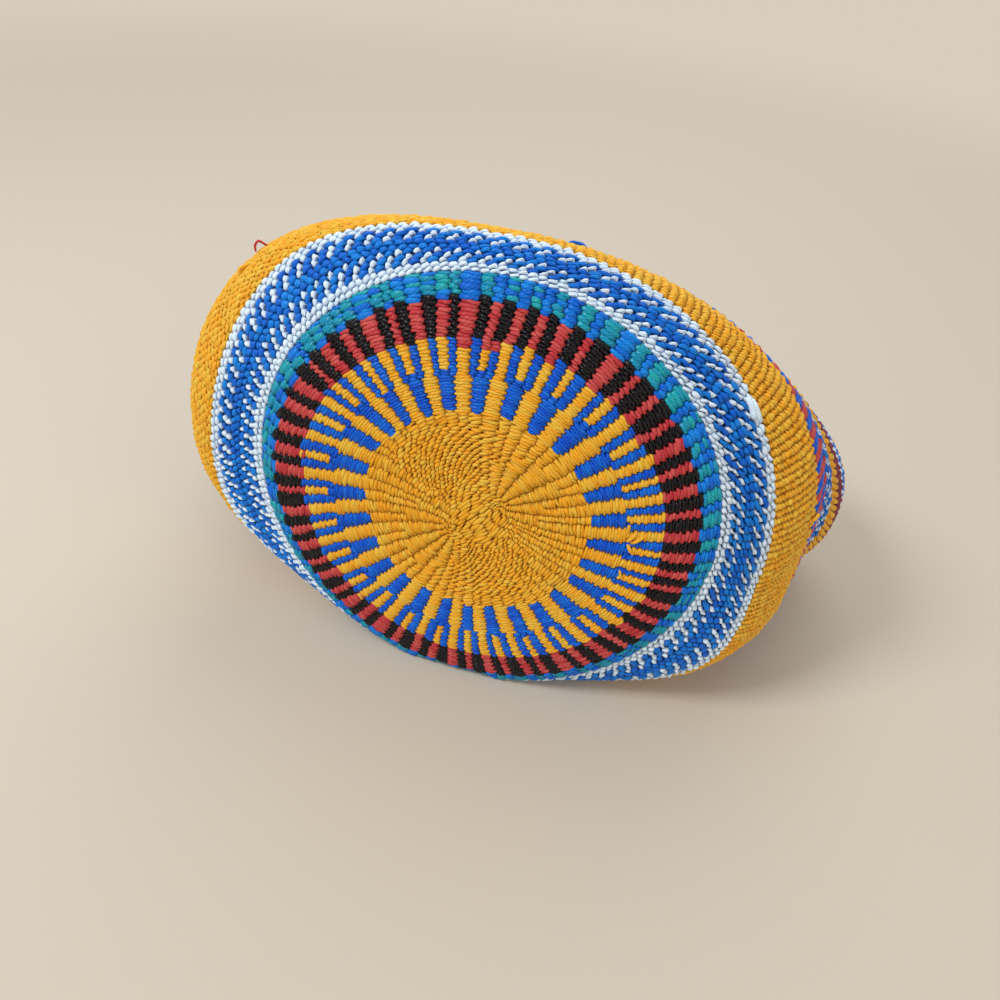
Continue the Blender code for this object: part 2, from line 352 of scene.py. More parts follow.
def weft_row(arc, pitch, edges, dip, crowd, crown, lift, waver, tilt=0.0, shear=0.0, tooth=0.0,
             bow=0.0, tips=PLAIN_TIPS, flat=1.0, section=SECTION):
    """One closed weft row as a grid of points: stations along the row by places round its
    section. Each stitch runs between two edges and has five stations. Crowd is its width in its
    middle, as a share of the pitch, tips is the width at its ends, and dip is how deep they go
    into the wall. The section is a half circle on the outer and on the inner face, joined by
    straight sides; flat below one makes it squarer. Crown arches a stitch, lift raises it, and
    waver lets the row wind. Tilt sets one end of a stitch above the other, shear slants the line
    where two stitches meet, tooth rounds one stitch's end over the next one, and bow moves
    stitches out along the wall."""
    dip, crowd, crown, lift, tilt, bow = (
        np.reshape(values, (-1, 1, 1)) for values in (dip, crowd, crown, lift, tilt, bow)
    )
    count = len(edges)
    width = np.mod(np.roll(edges, -1) - edges, TAU)
    spot = on_wall(*drawn_out(np.full(count, arc), edges), np.zeros(count))
    length = np.linalg.norm(np.roll(spot, -1, axis=0) - spot, axis=-1)
    length = np.maximum(length, 0.2 * MM)
    # A stitch turns into the wall over a third of the pitch, or a fifth of its length at most.
    turn = np.clip(0.36 * pitch / length, 0.05, 0.2)[:, None]
    middle = ALONG + turn * TURNED
    stations = edges[:, None] + width[:, None] * middle
    radius = np.minimum(0.5 * crowd * pitch, MOST_RADIUS) * (0.9 + 0.1 * FULLNESS)
    cosine = np.cos(section)
    sine = np.sin(section)
    sine = np.sign(sine) * np.abs(sine) ** flat
    outer = sine >= -1e-9
    sunk = dip * (1 - FULLNESS) + crown * (2 * middle[..., None] - 1) ** 2 - lift
    top = -PROUD + sunk + radius * (1 - sine)
    inner = INNER_FACE - 0.6 * sunk - radius * (1 + sine)
    depth = np.where(outer, top, inner)
    across = 0.5 * pitch * (tips + (crowd - tips) * FULLNESS) * cosine
    # Nine waves round the basket, moved on from row to row.
    wander = waver * np.sin(stations * 9 + arc * 4000)[..., None]
    grid_arc = arc + tilt * pitch * SLOPE + across + wander + bow
    rounding = ROUNDING * (1 - 2 * cosine**2)
    grid_angle = stations[..., None] + (width / length)[:, None, None] * tooth * rounding
    grid_angle = grid_angle - shear * width[:, None, None] * cosine
    points = on_wall(*drawn_out(np.maximum(grid_arc, 0.05 * MM), grid_angle), depth)
    # How deep each point lies in a groove, as a share of GROOVE_DEPTH: the string's material paints
    # shade there.
    groove = np.where(outer, sunk + radius * (1 - sine), 0.5 * radius) / GROOVE_DEPTH
    run = np.broadcast_to((length[:, None] * middle)[..., None], depth.shape)
    shape = (count * STATIONS, len(section))
    return {
        "points": roughened(points).reshape(*shape, 3),
        "run": (run / MM).reshape(shape),
        "round": (np.broadcast_to(section * radius, depth.shape) / MM).reshape(shape),
        "groove": np.clip(groove, 0, 1).reshape(shape),
        "length": np.repeat(length / MM, STATIONS),
    }


def tube_quads(stations, places):
    """Quads of a ring-shaped tube, which run from one station to the next and from one place of
    the section to the next."""
    index = np.arange(stations * places).reshape(stations, places)
    onward = np.roll(index, -1, axis=0)
    corners = [onward, np.roll(onward, -1, axis=1), np.roll(index, -1, axis=1), index]
    return np.stack(corners, axis=-1).reshape(-1, 4)


def woven_piece(name, strands, *nodes, slot):
    """Join strands to one mesh. Each is a grid of points, with the string and the tone of every
    stitch, and becomes a closed tube."""
    places = strands[0][0]["points"].shape[1]
    points, quads, maps, kinds, shades, grooves = [], [], [], [], [], []
    start = 0
    for row, strings, tones_of_row in strands:
        stations = row["points"].shape[0]
        quads.append(tube_quads(stations, places) + start)
        start += stations * places
        points.append(row["points"].reshape(-1, 3))
        grooves.append(row["groove"].reshape(-1))
        run = row["run"]
        ahead = np.roll(run, -1, axis=0)
        ahead[STATIONS - 1 :: STATIONS] = row["length"][STATIONS - 1 :: STATIONS, None]
        turn = row["round"]
        aside = np.roll(turn, -1, axis=1)
        aside[:, -1] = turn[:, -1] + turn[:, 1]
        u = np.stack([ahead, np.roll(ahead, -1, axis=1), np.roll(run, -1, axis=1), run], axis=-1)
        v = np.stack([turn, aside, aside, turn], axis=-1)
        maps.append(np.stack([u, v], axis=-1).reshape(-1, 2))
        kinds.append(np.repeat(strings, STATIONS * places))
        shades.append(np.repeat(tones_of_row, STATIONS * places))
    points = np.concatenate(points)
    quads = np.concatenate(quads)
    kinds = np.concatenate(kinds)
    mesh = bpy.data.meshes.new(name)
    mesh.vertices.add(len(points))
    mesh.vertices.foreach_set("co", points.astype(np.float32).ravel())
    mesh.loops.add(quads.size)
    mesh.loops.foreach_set("vertex_index", quads.astype(np.int32).ravel())
    mesh.polygons.add(len(quads))
    mesh.polygons.foreach_set("loop_start", np.arange(0, quads.size, 4, dtype=np.int32))
    slots = np.zeros(len(MATERIALS), np.int32)
    for place, kind in enumerate(sorted(set(kinds.tolist()))):
        mesh.materials.append(MATERIALS[kind])
        slots[kind] = place
    mesh.polygons.foreach_set("material_index", slots[kinds])
    mesh.update(calc_edges=True)
    mesh.shade_smooth()
    strand = mesh.uv_layers.new(name="strand")
    strand.data.foreach_set("uv", np.concatenate(maps).astype(np.float32).ravel())
    for attribute, domain, values in (("tone", "FACE", shades), ("groove", "POINT", grooves)):
        made = mesh.attributes.new(attribute, "FLOAT", domain)
        made.data.foreach_set("value", np.concatenate(values).astype(np.float32))
    mesh.validate()
    piece = stand(name, mesh)
    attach(piece, "root")
    if nodes:
        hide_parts(*nodes)


def uneven(count, share):
    """Random numbers about zero, one for each stitch."""
    return share * CHANCE.uniform(-1, 1, count)


def tones(count):
    """Random tone of each stitch, from its full colour to its faded one."""
    return CHANCE.uniform(0.25, 1.0, count)


# -------- spokes of the base

# The 28 blue spokes stand at these degrees round the base at 60 mm from the knot, and lean by
# these degrees over the next 32 mm, as the weaver spaced the warps by eye.
SPOKES = (1.5, 14.5, 27.3, 40, 55, 69, 82, 95.3, 108, 119.3, 131, 142, 154, 169,
          184, 198, 212, 225.5, 237, 250, 262, 273.3, 284.5, 297.5, 310, 323.5, 338, 349)
LEANS = (1, 1.7, 1.7, 2.4, 0.6, 0.2, -0.5, -2.8, -2.5, -1, 0.5, 3, 4.5, 4.3,
         3.5, 3.5, 1.5, -0.4, 0, 0, 0.5, 1.2, 2.3, 1.6, 2, 2.3, 1.2, 2.3)
SPOKE_COUNT = len(SPOKES)
RIBS = 4 * SPOKE_COUNT
SPOKE_TURNS = np.radians(SPOKES)
SPOKE_LEANS = np.radians(LEANS)

# Outer edges of the knot, the yellow centre, the wide and the thin spokes and the red ring.
KNOT_EDGE, CENTRE_EDGE, WIDE_EDGE, THIN_EDGE, RED_EDGE = (
    9.0 * MM, 52.3 * MM, 69.0 * MM, 85.2 * MM, 99.8 * MM
)


def spoke_places(radius, offsets):
    """Angles at a radius for offsets counted in spokes: whole numbers are the blue spokes."""
    share = np.clip((radius - 60 * MM) / (32 * MM), -0.4, 1.2)
    centres = SPOKE_TURNS + SPOKE_LEANS * share
    centres = np.concatenate([centres - TAU, centres, centres + TAU])
    return np.interp(offsets, np.arange(-SPOKE_COUNT, 2 * SPOKE_COUNT), centres)


def rows_between(start, end, count):
    """Middles of even rows between two arc lengths, each with its number, and their pitch."""
    pitch = (end - start) / count
    return [(k, start + (k + 0.5) * pitch) for k in range(count)], pitch


# Edges of the thin ribs as shares of the way from one blue spoke to the next; the black ribs are
# wider than the blue ones. Then their fixed unevenness, kept from row to row.
THIN_PARTS = (0.115, 0.345, 0.655, 0.885)
RED_PARTS = (0.105, 0.36, 0.64, 0.895)
RIB_JITTER = CHANCE.uniform(-0.03, 0.03, (SPOKE_COUNT, 4))
RED_JITTER = CHANCE.uniform(-0.055, 0.055, (SPOKE_COUNT, 4))


def thin_ribs(radius, jitter, parts=THIN_PARTS):
    """Edges of the four thin ribs that follow each spoke: half a yellow one, a blue one, the
    yellow one between two spokes, a blue one."""
    offsets = (np.arange(SPOKE_COUNT)[:, None] + np.array(parts) + jitter).ravel()
    return spoke_places(radius, offsets)


KNOT_STITCHES = (11, 13, 14, 15, 17)


def start_knot():
    """The first five rounds over the crossed warps: few, fat and crooked stitches, drawn out and
    turned on by a radian for each millimetre."""
    strands = []
    rows, pitch = rows_between(0.2 * MM, KNOT_EDGE, len(KNOT_STITCHES))
    for number, arc in rows:
        count = KNOT_STITCHES[number]
        edges = (np.arange(count) + uneven(count, 0.22)) * TAU / count + arc / MM
        row = weft_row(
            arc, pitch, edges, dip=0.95 * MM, tilt=uneven(count, 0.5) - 0.5, crowd=1.25,
            crown=0.3 * MM, lift=uneven(count, 0.25 * MM), waver=0.2 * MM,
        )
        strands.append((row, np.full(count, YELLOW), 0.9 * tones(count)))
    woven_piece("start_knot_rounds", strands, "start_knot", slot="yellow_string")


# Every table of eighteen values has one for each of eighteen even places round the knot, from the
# right side up and over. These are how much the yellow stitches are staggered from row to row,
# how wide the ribs are and how much the stitches lean.
STAGGER = (0.1, 0, 0, 0.1, 0.4, 0.9, 1, 0.9, 0.4, 0.1, 0.1, 0, 0.2, 0.5, 0.7, 0.6, 0.5, 0.3)
FANNED = (0.2, 0.8, 1, 0.8, 0.2, 0, 0, 0, 0.1, 0.3, 0.8, 1, 0.7, 0.1, 0, 0, 0, 0)
CENTRE_LEAN = (-0.1, -0.1, 0.1, -0.3, -0.5, -0.4, -0.3, -0.3, -0.2, -0.2, 0.1, 0.2, -0.3, -0.5,
               -0.5, -0.4, -0.4, -0.3)


def yellow_centre():
    """Tangential rows whose stitches split in two at uneven distances from the knot. Over most of
    the disc they are staggered like bricks; at the upper right and the lower left of the knot they
    stand in line as wide ribs that fan out."""
    strands = []
    rows, pitch = rows_between(KNOT_EDGE, CENTRE_EDGE, 26)
    numbers = np.arange(SPOKE_COUNT)
    fanned = closed_curve(FANNED, np.mod(spoke_places(30 * MM, numbers + 0.25), TAU))
    # Stitches split in two at about 17 mm, and in the fans at 43 mm; outside the fans, every
    # second one starts at 9 to 15 mm.
    splits = 17 * MM + 26 * MM * fanned + uneven(SPOKE_COUNT, 4 * MM)
    starts_late = CHANCE.uniform(9 * MM, 15 * MM, SPOKE_COUNT) * (1 - fanned)
    shift = CHANCE.uniform(-0.07, 0.07, 2 * SPOKE_COUNT).reshape(-1, 2)
    starts = numbers[:, None] + np.array([0.25, 0.75]) + shift
    for number, arc in rows:
        there = (numbers % 2 == 0) | (arc > starts_late)
        offsets = starts[np.stack([there, arc > splits], axis=1)]
        count = len(offsets)
        edges = spoke_places(arc, offsets)
        width = np.mod(np.roll(edges, -1) - edges, TAU)
        place = np.mod(edges, TAU)
        stagger = 0.22 * (-1) ** number * closed_curve(STAGGER, place) * ramp(50 * MM - arc, 6 * MM)
        edges = edges + width * (stagger + uneven(count, 0.06))
        wide = np.clip(closed_curve(FANNED, place), 0, 1) * ramp(44 * MM - arc, 10 * MM)
        row = weft_row(
            arc, pitch, edges, dip=(0.8 + 0.2 * wide) * MM,
            tilt=closed_curve(CENTRE_LEAN, place) + uneven(count, 0.4), shear=0.03,
            crowd=1.14 + 0.2 * wide + uneven(count, 0.04), crown=(0.42 + 0.2 * wide) * MM,
            lift=uneven(count, 0.3 * MM), waver=0.3 * MM,
        )
        strands.append((row, np.full(count, YELLOW), tones(count) - 0.1))
    woven_piece("yellow_centre_rows", strands, "yellow_base_centre", slot="yellow_string")


def inner_spokes():
    """Wide spokes, blue and yellow by turns, of fine strings laid side by side over each spoke.
    A blue spoke starts one row late or narrow, so that its inner end is round."""
    strands = []
    rows, pitch = rows_between(CENTRE_EDGE, WIDE_EDGE, 13)
    late = CHANCE.integers(0, 2, SPOKE_COUNT)
    count = 2 * SPOKE_COUNT
    for number, arc in rows:
        side = 0.026 * (-1) ** number
        inset = (0.075, 0.03, 0.01)[min(number, 2)]
        sides = np.array([-0.25 + inset + side, 0.25 - inset + side])
        offsets = (np.arange(SPOKE_COUNT)[:, None] + sides).ravel() + uneven(count, 0.01)
        colour = np.tile([BLUE, YELLOW], SPOKE_COUNT)
        if number == 0:
            colour[0::2] = np.where(late == 1, YELLOW, BLUE)
        row = weft_row(
            arc, pitch, spoke_places(arc, offsets), dip=0.95 * MM, tilt=0.15, tooth=0.22 * MM,
            crowd=1.22, crown=0.4 * MM, lift=uneven(count, 0.08 * MM), waver=0.08 * MM,
        )
        strands.append((row, colour, tones(count)))
    woven_piece("wide_spoke_rows", strands, "inner_spoke_ring", slot="blue_string")


# The thin ribs at the top into which red runs in the last three rows.
RED_RUNS_IN = [26, 27, 29]


def outer_spokes():
    """Each wide spoke divides: thin yellow, blue, yellow and blue ribs, with ragged starts."""
    strands = []
    rows, pitch = rows_between(WIDE_EDGE, THIN_EDGE, 11)
    late = CHANCE.integers(0, 3, SPOKE_COUNT)
    early = CHANCE.uniform(0, 1, RIBS) < 0.14
    for number, arc in rows:
        side = 0.018 * (-1) ** number
        edges = thin_ribs(arc, RIB_JITTER + side) + uneven(RIBS, 0.001)
        colour = np.tile([BLUE, YELLOW, BLUE, YELLOW], SPOKE_COUNT)
        colour[3::4] = np.where(np.roll(late, -1) > number, BLUE, YELLOW)
        if number >= len(rows) - 3:
            colour[RED_RUNS_IN] = RED
        if number == len(rows) - 1:
            colour = np.where(early, np.where(colour == YELLOW, RED, BLACK), colour)
        row = weft_row(
            arc, pitch, edges, dip=0.85 * MM, tilt=0.3, shear=0.02, tooth=0.22 * MM, crowd=1.18,
            crown=0.25 * MM, lift=uneven(RIBS, 0.1 * MM), waver=0.1 * MM,
        )
        strands.append((row, colour, tones(RIBS)))
    woven_piece("thin_spoke_rows", strands, "outer_spoke_ring", slot="yellow_string")


def red_and_black():
    """Red ribs over the yellow ones and glossy black ribs over the blue ones. Their unevenness
    changes over from the thin spokes' to their own in the first three rows."""
    strands = []
    rows, pitch = rows_between(THIN_EDGE, RED_EDGE, 10)
    late = CHANCE.uniform(0, 1, RIBS) < 0.12
    for number, arc in rows:
        side = 0.022 * (-1) ** number
        jitter = RIB_JITTER + (RED_JITTER - RIB_JITTER) * min(1, number / 3) + side
        edges = thin_ribs(arc, jitter, RED_PARTS) + uneven(RIBS, 0.0012)
        colour = np.tile([BLACK, RED, BLACK, RED], SPOKE_COUNT)
        if number == 0:
            colour = np.where(late, np.where(colour == RED, YELLOW, BLUE), colour)
        row = weft_row(
            arc, pitch, edges, dip=0.95 * MM, tilt=0.5 + uneven(RIBS, 0.2), shear=0.02,
            tooth=0.28 * MM, crowd=1.2, crown=0.25 * MM, lift=uneven(RIBS, 0.14 * MM),
            waver=0.12 * MM,
        )
        strands.append((row, colour, tones(RIBS)))
    woven_piece("red_black_rows", strands, "red_black_ring", slot="red_string")


# How much the teal ring's strands alternate between fat and thin, and how much they lean.
FATTENED = (0, 0, 0, 0, 0.1, 0.3, 0.6, 0.9, 1, 1, 0.8, 0.5, 0.3, 0.2, 0.1, 0, 0, 0)
TEAL_LEAN = (-0.2, -0.1, 0, 0, 0.1, 0.2, 0.4, 0.6, 0.6, 0.5, 0.4, 0.2, 0, 0, -0.1, -0.2, -0.3, -0.3)
# The share of teal stitches in each of its six rows, over black and over red ribs.
TEAL_OVER_BLACK = (1, 0.95, 0.85, 0.6, 0.45, 0.75)
TEAL_OVER_RED = (0, 0, 0.15, 0.4, 0.2, 0.45)


def teal_and_blue():
    """Glossy string in six rows that press into smooth ribs, mostly blue over the red ribs and
    teal over the black ones, after a first row that is black there. On the left, every second row
    is fat and the two mix more."""
    strands = []
    rows, pitch = rows_between(RED_EDGE, BASE_RADIUS, 6)
    over_black = np.tile([True, False, True, False], SPOKE_COUNT)
    chance = CHANCE.uniform(0, 1, (2, RIBS))
    for number, arc in rows:
        jitter = RED_JITTER + 0.02 * (-1) ** number
        edges = thin_ribs(arc, jitter, RED_PARTS) + uneven(RIBS, 0.001)
        fat = closed_curve(FATTENED, edges)
        mixed = 0.3 + 0.7 * fat
        share_there = TEAL_OVER_RED[number] * mixed + 0.3 * fat * (number > 1)
        share = np.where(over_black, 1 - (1 - TEAL_OVER_BLACK[number]) * mixed, share_there)
        colour = np.where(chance[number % 2] < share, TEAL, SKY)
        if number == 0:
            colour = np.where(over_black, BLACK, SKY)
        fat = fat * (0.85, -0.5)[number % 2]
        row = weft_row(
            arc, pitch, edges, dip=1.05 * MM, tilt=closed_curve(TEAL_LEAN, edges),
            tooth=0.1 * MM, crowd=1.28 + fat, flat=0.8, crown=0.3 * MM,
            lift=uneven(RIBS, 0.08 * MM) + 0.35 * MM * fat, waver=0.08 * MM,
        )
        strands.append((row, colour, tones(RIBS)))
    woven_piece("teal_blue_rows", strands, "teal_blue_ring", slot="teal_string")


# -------- bands of the wall

# The columns lean by this much from the base's edge to the girth, and on from there to the girth's
# far edge by these degrees, where the soft wall has slumped.
LEAN = math.radians(6.0)
DRIFT = (0, 2.5, 6, 4, 1.5, -1, -3, -0.5, 0, 0, 0, 0, 0, 0, 0, -1, -1, -1)
SHOULDER_WIDTH = 28.2 * MM
GIRTH_START = 136.2 * MM
GIRTH_WIDTH = 28 * MM

# How close the stitches stand, and how many there are in one row.
CLOSER_LEFT = (0.97, 0.96, 0.94, 0.94, 0.94, 0.96, 1.02, 1.06, 1.03, 1, 1, 1, 1.02, 1.04, 1.04,
               1.02, 1, 0.98)
CLOSER_RIGHT = (1.14, 1.15, 1.15, 1.12, 1.02, 0.95, 0.92, 0.92, 0.92, 0.92, 0.94, 0.95, 0.97, 1,
                1, 1.02, 1.05, 1.1)
SHOULDER, GIRTH, STRIPES = (184, CLOSER_LEFT), (196, CLOSER_RIGHT), (148, CLOSER_RIGHT)
FLANK = (208, (1.0,) * 18)

# How far the rows at the girth's far edge bow away from the base, in millimetres, and over which
# millimetres from the knot they do, with a ramp at both ends.
BOWED = (0, 0.2, 2.8, 5.6, 5.2, 3.6, 2, 1, 0.6, 0.4, 0.2, 0, 0, 0, 0, 0, 0, 0)
BOW_START, BOW_END, BOW_RAMP = 136.2, 200.0, 30.0

# How strongly the columns of fine rows stand out as ridges: clearly on the right, hardly on the
# left, where every second row is also moved on by up to half a stitch.
RIDGED = (1, 1, 1, 0.9, 0.7, 0.5, 0.35, 0.3, 0.3, 0.3, 0.4, 0.5, 0.6, 0.7, 0.8, 0.9, 1, 1)

# Where the columns start to change over to equal lengths, and over how much of the wall.
EVEN_START, EVEN_OVER = 176 * MM, 40 * MM
ROUND = np.arange(ANGLE_COUNT + 1) * TAU / ANGLE_COUNT


def columns(arc, warps, closeness, share_of_first):
    """Columns round the wall. Up to the stripes they stand as close as the warps do, and lean;
    beyond them they change over to equal lengths round the oval. Every second one takes this
    share of its pair."""
    numbers = np.arange(warps)
    shares = (numbers + (numbers % 2) * (2 * share_of_first - 1)) / warps
    filled = np.append(0.0, np.cumsum(closed_curve(closeness, ROUND[1:])))
    spaced = np.interp(shares, filled / filled[-1], ROUND)
    ring = POINTS[round(arc / ARC_STEP)]
    steps = np.linalg.norm(np.roll(ring, -1, axis=0) - ring, axis=-1)
    lengths = np.append(0.0, np.cumsum(steps))
    equal = np.interp(shares, lengths / lengths[-1], ROUND)
    change = ramp(arc - EVEN_START, EVEN_OVER)
    change = change**2 * (3 - 2 * change)
    leaned = LEAN * ramp(arc - BASE_RADIUS, SHOULDER_WIDTH)
    drifted = np.radians(closed_curve(DRIFT, spaced)) * ramp(arc - GIRTH_START, GIRTH_WIDTH)
    return spaced + change * (equal - spaced) + leaned + drifted * (1 - 0.6 * change)


# A band of this many stitches is made as two pieces, so that each has under 200,000 triangles.
MOST_STITCHES = 2800
# How far chance moves a stitch's edges, as a share of its length, its tilt and its width, as
# shares of the pitch, and its height.
EDGE_CHANCE, TILT_CHANCE, CROWD_CHANCE, LIFT_CHANCE = 0.06, 0.22, 0.04, 0.18 * MM


def wall_band(node_name, start, count, pitch, pattern, warps, closeness, tilt, dip, crowd, crown,
              rough=1.0, slender=0.5, slide=0.0, bulge=0.0, ribbed=False, **form):
    """Rows of one band of the wall. The pattern is two strings and a step: they take turns round
    a row, and each row starts that many stitches further on. Rough scales the stitches' chance
    differences, slender is the first string's share of a pair, bulge makes its stitches fuller,
    and slide carries each row on by a part of a stitch. A ribbed band's columns stand out as
    ridges as the table says. All bands bow as their table says; a row takes the rest as is."""
    first, second, step = pattern
    strands = []
    numbers = np.arange(warps)
    for row in range(count):
        arc = start + (row + 0.5) * pitch
        turn = (row * step) % 2
        is_first = (numbers + turn) % 2 == 0
        edges = columns(arc, warps, closeness, 1 - slender if turn else slender)
        ridged = closed_curve(RIDGED, edges) if ribbed else 1.0
        stagger = 0.7 * (1 - ridged) * (row % 2)
        shift = uneven(warps, EDGE_CHANCE * min(rough, 1.2)) + slide * row + stagger
        edges = edges + shift * TAU / warps
        bowing = ramp(min(arc / MM - BOW_START, BOW_END - arc / MM), BOW_RAMP)
        bulging = bulge * is_first
        full = PLAIN_TIPS + (crowd - PLAIN_TIPS) * ridged + bulging
        made = weft_row(
            arc, pitch, edges, dip=dip * MM, tilt=tilt + uneven(warps, TILT_CHANCE * rough),
            crowd=full + uneven(warps, CROWD_CHANCE * rough), crown=crown * ridged * MM,
            lift=uneven(warps, LIFT_CHANCE * rough) + 0.8 * MM * bulging, waver=0.14 * MM,
            bow=closed_curve(BOWED, edges) * MM * bowing, **form,
        )
        strands.append((made, np.where(is_first, first, second), tones(warps)))
    slot = STRING_NAMES[second].replace("sky_", "") + "_string"
    name = node_name.rsplit("_", 1)[0] + "_rows"
    half = count if count * warps < MOST_STITCHES else count // 2
    woven_piece(name, strands[:half], node_name, slot=slot)
    if half < count:
        woven_piece(name + "_beyond", strands[half:], slot=slot)
    return start + count * pitch


def wall():
    """The fifteen bands from the base's edge to the mouth, each with its number of rows and its
    pitch in millimetres."""
    bead = dict(tilt=-0.35, dip=1.05, crowd=1.08, crown=0.35, shear=0.03)
    fleck = dict(tilt=-0.45, dip=1.05, crowd=1.14, crown=0.4, shear=0.03, slender=0.38,
                 bulge=-0.04, tips=0.85, rough=0.7)
    block = dict(tilt=-0.1, dip=1.0, crowd=1.22, crown=0.25, shear=0.02, rough=1.3)
    fine = dict(tilt=-0.25, dip=0.95, crowd=1.28, flat=0.85, crown=0.75, rough=1.8, ribbed=True,
                section=PLAIN_SECTION)
    stripe = dict(tilt=-0.3, dip=0.55, crowd=1.35, flat=0.8, crown=0.4, rough=0.5, slide=-0.03,
                  section=PLAIN_SECTION)
    all_yellow, all_white, all_sky, all_dark_red = (
        (string, string, 0) for string in (YELLOW, WHITE, SKY, DARK_RED)
    )
    flecked = (WHITE, SKY, 1)
    bands = (
        ("base_white_ring", 2, 2.35, all_white, SHOULDER, bead),
        ("lower_diagonal_ring", 3, 2.35, flecked, SHOULDER, fleck),
        ("blue_ring", 2, 2.35, all_sky, SHOULDER, block),
        ("upper_diagonal_ring", 3, 2.35, flecked, SHOULDER, fleck),
        ("shoulder_white_ring", 2, 2.35, all_white, SHOULDER, bead),
        ("yellow_girth_band", 16, 1.75, all_yellow, GIRTH, fine),
        ("red_blue_band", 13, 22.4 / 13, (BLUE, RED, 0), STRIPES, stripe),
        ("blue_white_band", 5, 2.8, flecked, FLANK, fleck),
        ("yellow_flank_band", 8, 1.75, all_yellow, FLANK, fine),
        ("dark_red_band", 13, 22.4 / 13, all_dark_red, FLANK, fine),
        ("white_flank_ring", 2, 2.8, all_white, FLANK, bead),
        ("blue_flank_band", 5, 2.8, all_sky, FLANK, block),
        ("white_mouth_ring", 2, 2.8, all_white, FLANK, bead),
        ("yellow_mouth_band", 13, 22.4 / 13, all_yellow, FLANK, fine),
        ("red_mouth_band", 5, 8.4 / 5, all_dark_red, FLANK, fine),
    )
    edge = BASE_RADIUS
    for node_name, count, pitch, pattern, spacing, form in bands:
        edge = wall_band(node_name, edge, count, pitch * MM, pattern, *spacing, **form)


def warps_inside():
    """The warps run in the middle of the wall from the knot to the rim. They show only as shade
    between stitches, so they are one thin closed skin at two depths, 0.3 mm apart."""
    angles = np.arange(180) * TAU / 180
    arcs = np.linspace(1.2 * MM, TOTAL - 1 * MM, 64)
    depths = np.repeat([2.2 * MM, 2.5 * MM], len(arcs))
    arcs = np.concatenate([arcs[::-1], arcs])
    points = on_wall(*np.broadcast_arrays(arcs, angles[:, None], depths))
    quads = tube_quads(len(angles), len(arcs))
    mesh = bpy.data.meshes.new("warps_inside_wall")
    mesh.from_pydata(points.reshape(-1, 3).tolist(), [], quads.tolist())
    # Sisal, a dull plant fibre: streaks of about 1 mm, with no gloss, in dark browns that are
    # painted shade deep between stitches.
    material, tree, shader = new_material("sisal_fibre_in_painted_shade", {"Roughness": 0.9})
    place = node(tree, "TexCoord").outputs["Object"]
    fibres = node(tree, "TexNoise", {"Vector": place, "Scale": 900.0, "Detail": 2.0}).outputs["Fac"]
    browns = {"A": linear("33241A"), "B": linear("5A4632")}
    colour = node(tree, "Mix", {"Factor": fibres, **browns}, data_type="RGBA")
    tree.links.new(colour.outputs["Result"], shader.inputs["Base Color"])
    mesh.materials.append(material)
    mesh.shade_smooth()
    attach(stand("warps_inside_wall", mesh), "root")


# -------- rim and loose ends

RIM_RADIUS = 4.5 * MM
PLAIT_TURN = 17 * MM
PLAIT_STITCHES = 400
PLAIT_RADIUS = 1.95 * MM


def tube_rings(path, ahead, beside, radius, section):
    """Rings of points round a path: the first of a ring's axes is square to the path's direction
    and to the vector beside it, and the second is square to both."""
    side = unit(np.cross(ahead, beside))
    upright = np.cross(side, ahead)
    ring = side[:, None] * np.cos(section)[:, None] + upright[:, None] * np.sin(section)[:, None]
    return path[:, None] + radius * ring


def rim_plait():
    """Three-strand plait along the mouth: each strand swings sideways as a sine and in and out
    as the sine of twice that angle, a third of a turn after the strand before it."""
    stations = STATIONS * PLAIT_STITCHES
    angles = np.arange(stations) * TAU / stations
    end = np.full(stations, TOTAL)
    edge = on_wall(end, angles, np.zeros(stations))
    inside = on_wall(end, angles, np.ones(stations)) - edge
    around = unit(np.roll(edge, -5, axis=0) - np.roll(edge, 5, axis=0))
    outwards = np.cross(inside, around)
    middle = edge + outwards * (RIM_RADIUS + 0.3 * MM) + inside * WALL_THICKNESS / 2
    middle[:, 2] = np.maximum(middle[:, 2], RIM_RADIUS)
    steps = np.linalg.norm(np.roll(middle, -1, axis=0) - middle, axis=-1)
    total = steps.sum()
    run = np.concatenate([[0.0], np.cumsum(steps)[:-1]])
    starts = run[0::STATIONS]
    strands = []
    for strand in range(3):
        phase = run / total * round(total / PLAIT_TURN) * TAU + strand * TAU / 3
        path = (
            middle
            + inside * (2.5 * MM * np.sin(phase))[:, None]
            + outwards * (1.5 * MM * np.sin(2 * phase))[:, None]
        )
        ahead = unit(np.roll(path, -1, axis=0) - np.roll(path, 1, axis=0))
        points = tube_rings(path, ahead, inside, PLAIT_RADIUS, SECTION)
        shape = points.shape[:2]
        along = ((run - np.repeat(starts, STATIONS)) / MM)[:, None]
        row = {
            "points": points,
            "run": np.broadcast_to(along, shape),
            "round": np.broadcast_to(SECTION * PLAIT_RADIUS / MM, shape),
            "groove": np.zeros(shape),
            "length": np.repeat((np.append(starts[1:], total) - starts) / MM, STATIONS),
        }
        shades = tones(PLAIT_STITCHES) * 0.3 + 0.4
        strands.append((row, np.full(PLAIT_STITCHES, YELLOW), shades))
    woven_piece("rim_plait_strands", strands, "rim_plait", slot="yellow_string")


SIDES = 10
STEPS_BETWEEN = 6


